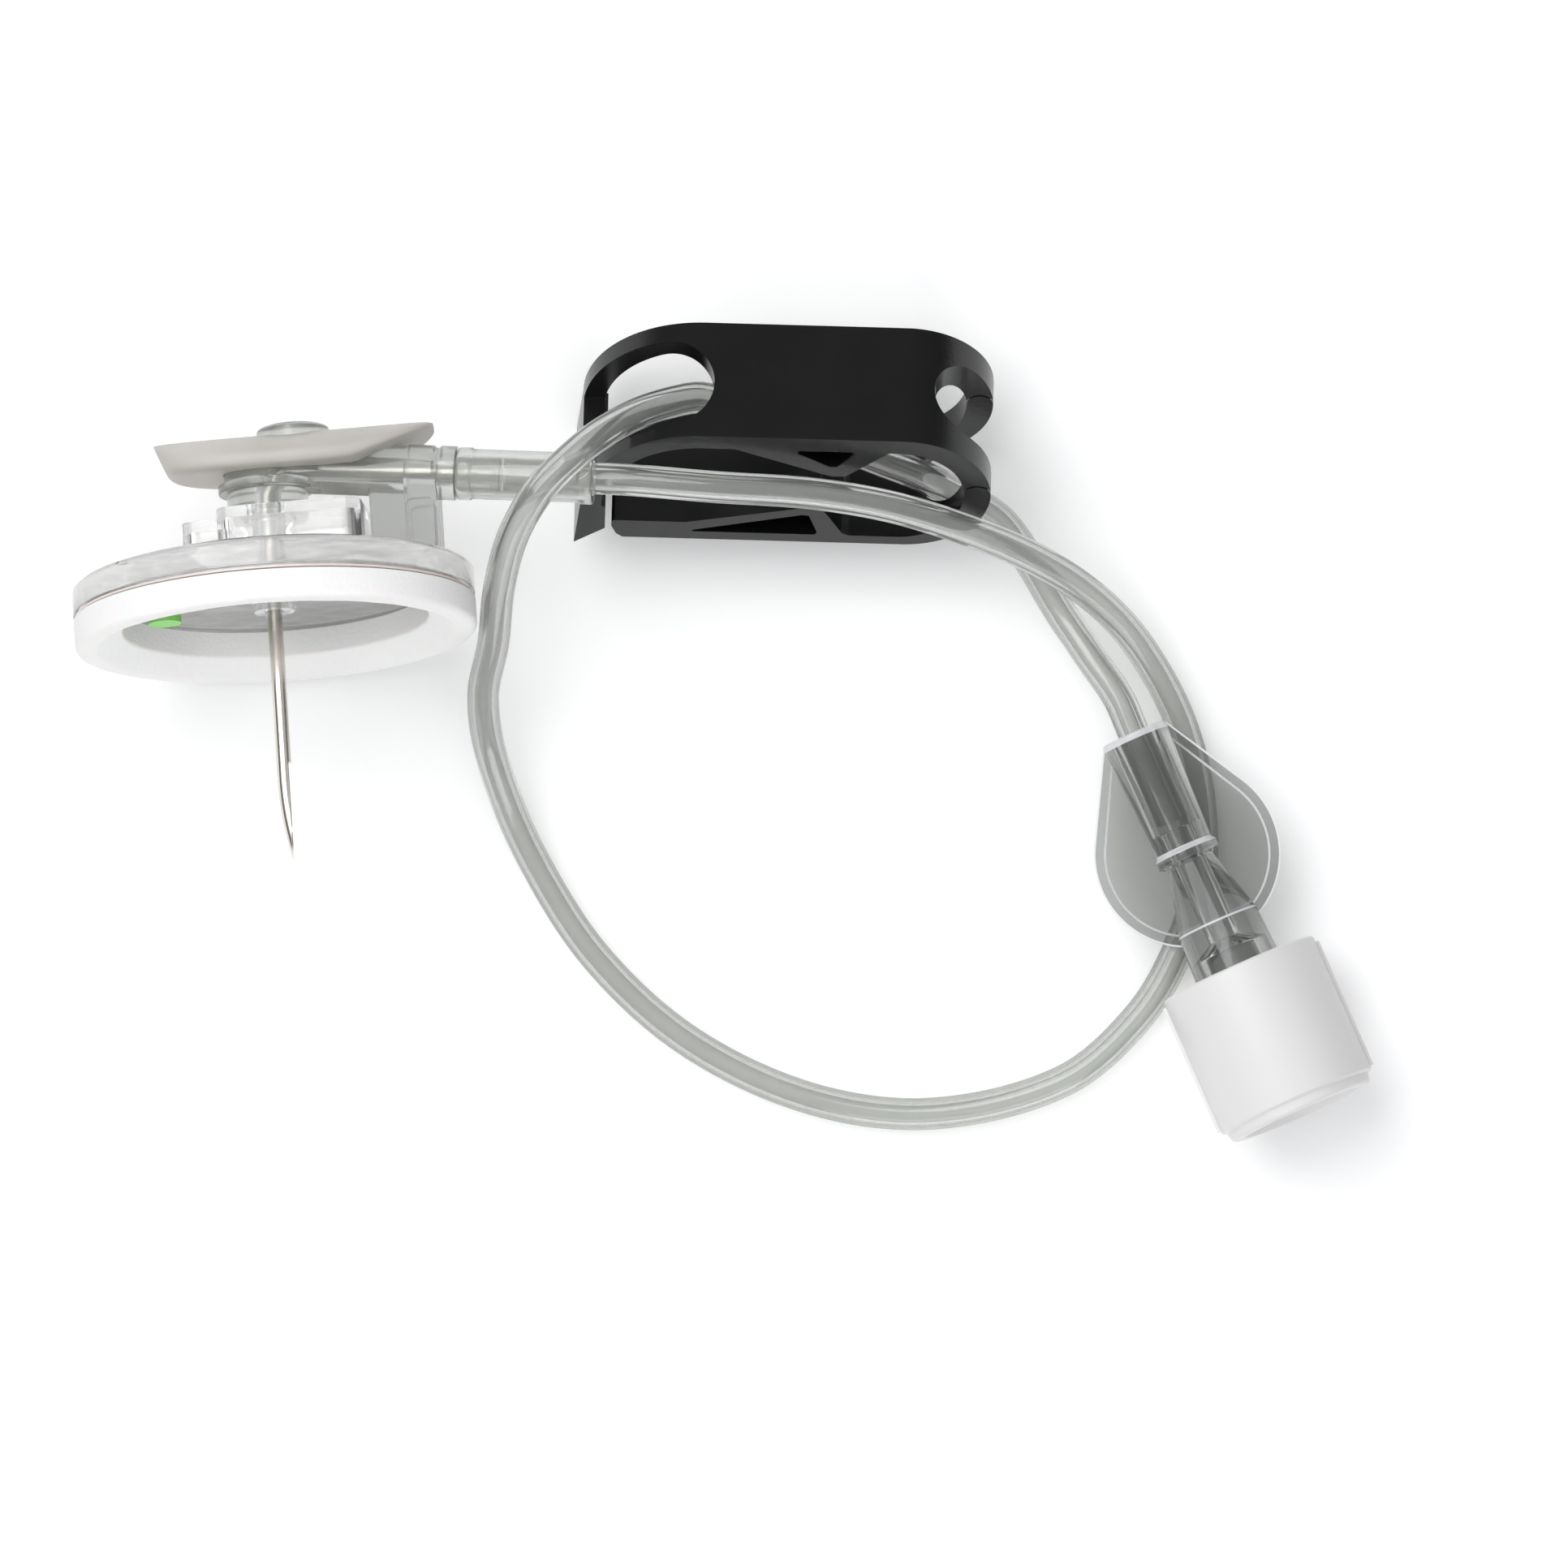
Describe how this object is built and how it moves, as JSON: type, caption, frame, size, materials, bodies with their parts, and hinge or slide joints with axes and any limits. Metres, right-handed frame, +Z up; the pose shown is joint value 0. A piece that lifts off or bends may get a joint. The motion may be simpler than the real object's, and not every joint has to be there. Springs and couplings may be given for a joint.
{
  "type": "huber needle",
  "caption": "Port access needle set: bent needle with finger grip and sliding foam-backed shield, clear tube with pinch clamp, winged luer hub and screw cap.",
  "frame": {"origin": "on the table, below the middle of the needle unit's bounding box", "axes": "+Z up from the table, the needle's tip points towards -Y and a little up, the line leaves the needle unit towards +X"},
  "size_m": [0.093, 0.0586, 0.029],
  "materials": {
    "clear plastic": "clear gloss",
    "clear tube": "clear, soft",
    "frosted grip": "frosted, translucent",
    "white foam": "matte closed-cell foam",
    "adhesive": "matte film",
    "green dot": "matte",
    "black plastic": "satin",
    "white plastic": "satin",
    "needle steel": "drawn, bright",
    "spring steel": "bright strip"
  },
  "bodies": {
    "needle_set": {"needle": "needle steel", "needle_hub": "clear plastic", "wing_grip": "frosted grip", "tube_sleeve": "clear tube", "tubing": "clear tube", "clamp_frame": "black plastic", "luer_hub": "clear plastic"},
    "safety_base": {"foam_ring": "white foam", "adhesive_ring": "adhesive", "base_plate": "clear plastic", "lock_indicator": "green dot", "clip_housing": "clear plastic", "safety_clip": "spring steel"},
    "clamp_lever": {"clamp_lever": "black plastic"},
    "luer_cap": {"luer_cap": "white plastic"}
  },
  "joints": [
    {"name": "base_slide", "type": "slide", "parent": "needle_set", "child": "safety_base", "axis": [0.0597, -0.9756, 0.2113], "range_m": [0, 0.0225]},
    {"name": "clamp_close", "type": "hinge", "parent": "needle_set", "child": "clamp_lever", "pos_m": [0.04941, 0.01454, 0.00868], "axis": [0.0227, 0.8128, -0.5821], "range_deg": [0, 7], "stiffness_Nm_per_rad": 0.08},
    {"name": "cap_turn", "type": "hinge", "parent": "needle_set", "child": "luer_cap", "pos_m": [0.07043, -0.02901, 0.00622], "axis": [0.4044, -0.9125, 0.061], "range_deg": [0, 270]}
  ]
}
